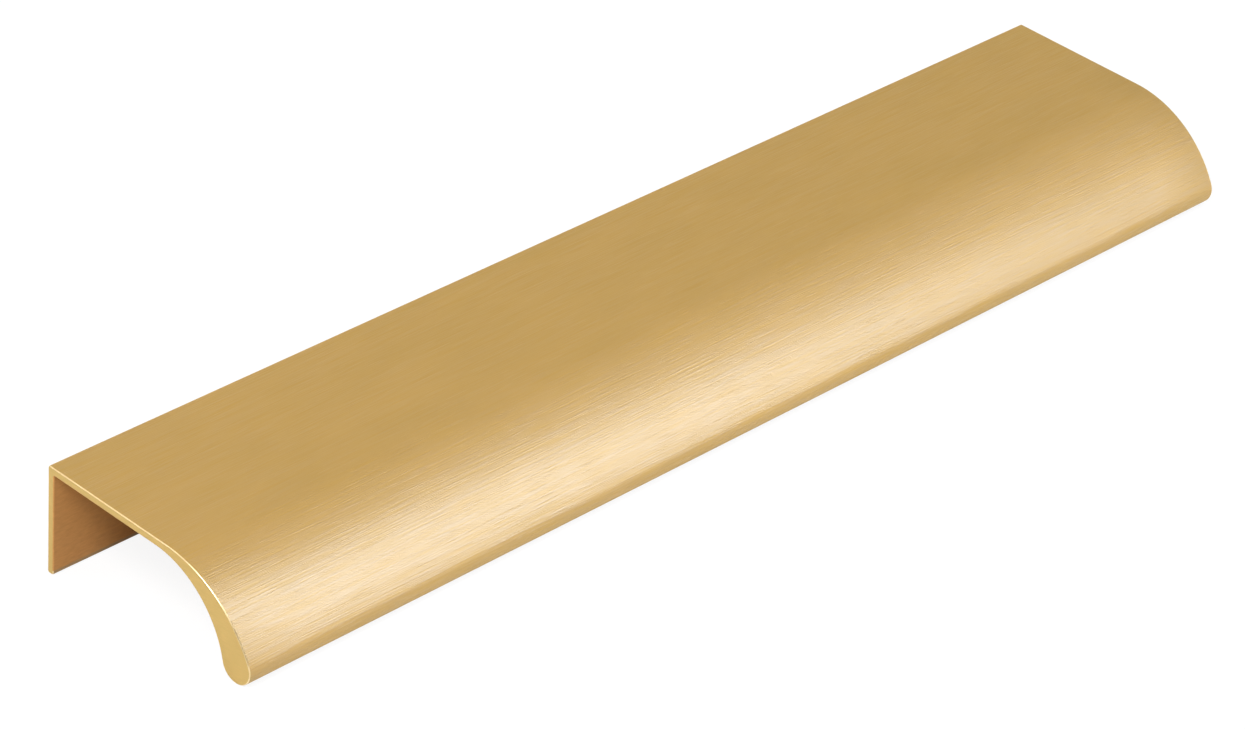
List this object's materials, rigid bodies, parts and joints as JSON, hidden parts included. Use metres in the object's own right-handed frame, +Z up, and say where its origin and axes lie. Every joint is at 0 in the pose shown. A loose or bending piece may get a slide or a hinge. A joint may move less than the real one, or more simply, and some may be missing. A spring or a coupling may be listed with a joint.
{
  "type": "finger pull profile",
  "caption": "Gold brushed aluminium finger pull profile: a flat top with a screw-on back leg hooks over a door's edge, and a curved lip ends in a round bead for the fingers.",
  "frame": {"origin": "on the level surface that the bar rests on, under the middle of its box", "axes": "+X along the bar, -Y towards the lip that the fingers pull, +Z up"},
  "size_m": [0.2, 0.0422, 0.0177],
  "materials": {
    "gold_anodised_aluminium": "brushed lengthways and anodised gold, satin"
  },
  "bodies": {
    "root": {"finger_pull_profile": "gold_anodised_aluminium"}
  },
  "joints": []
}
